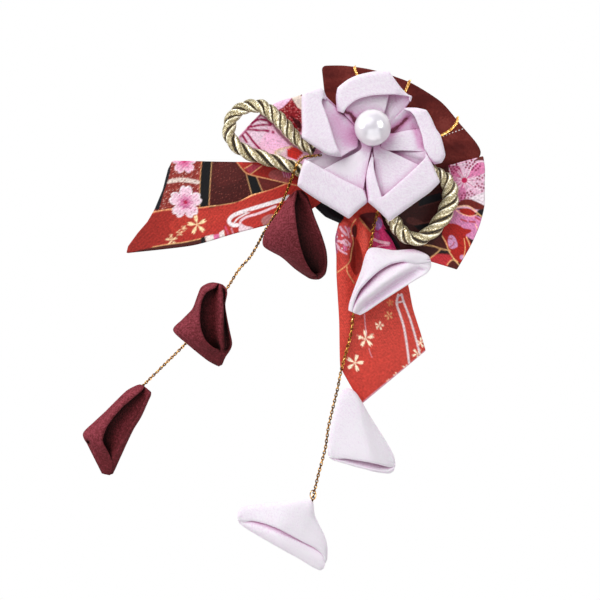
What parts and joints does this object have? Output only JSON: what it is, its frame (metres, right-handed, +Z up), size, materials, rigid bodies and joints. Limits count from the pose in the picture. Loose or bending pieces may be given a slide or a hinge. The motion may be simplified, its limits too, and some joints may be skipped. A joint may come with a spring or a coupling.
{
  "type": "hair clip",
  "caption": "Hair clip with a folded cloth flower, a round bead, a cloth fan and bow, twisted cord loops and fine chains that carry hanging folded petals.",
  "frame": {"origin": "centre of the clip's lower leaf, on the face that lies on the surface", "axes": "+Z up out of the flower's face, +Y towards the fan's top edge, +X towards the fan's printed side"},
  "size_m": [0.1356, 0.1702, 0.0267],
  "materials": {
    "steel": "plain",
    "brown_crepe": "matte woven crepe with gold thread stitches",
    "printed_crepe": "matte woven crepe with a printed pattern of blossoms, bars and gold lines",
    "gold_cord": "twisted metallic thread",
    "pale_crepe": "soft satin crepe",
    "pearl": "pearl lustre",
    "gold": "polished",
    "maroon_crepe": "soft satin crepe"
  },
  "bodies": {
    "root": {"clip": "steel", "fan_plain": "brown_crepe", "fan_print": "printed_crepe", "loop_left": "printed_crepe", "tail_left": "printed_crepe", "tail_lower": "printed_crepe", "cord_loop_left": "gold_cord", "cord_loop_right": "gold_cord", "petal_1": "pale_crepe", "petal_2": "pale_crepe", "petal_3": "pale_crepe", "petal_4": "pale_crepe", "petal_5": "pale_crepe", "pearl": "pearl", "chain_left": "gold", "chain_right": "gold", "drop_left_1": "maroon_crepe", "drop_left_2": "maroon_crepe", "drop_left_3": "maroon_crepe", "drop_right_1": "pale_crepe", "drop_right_2": "pale_crepe", "drop_right_3": "pale_crepe"}
  },
  "joints": []
}
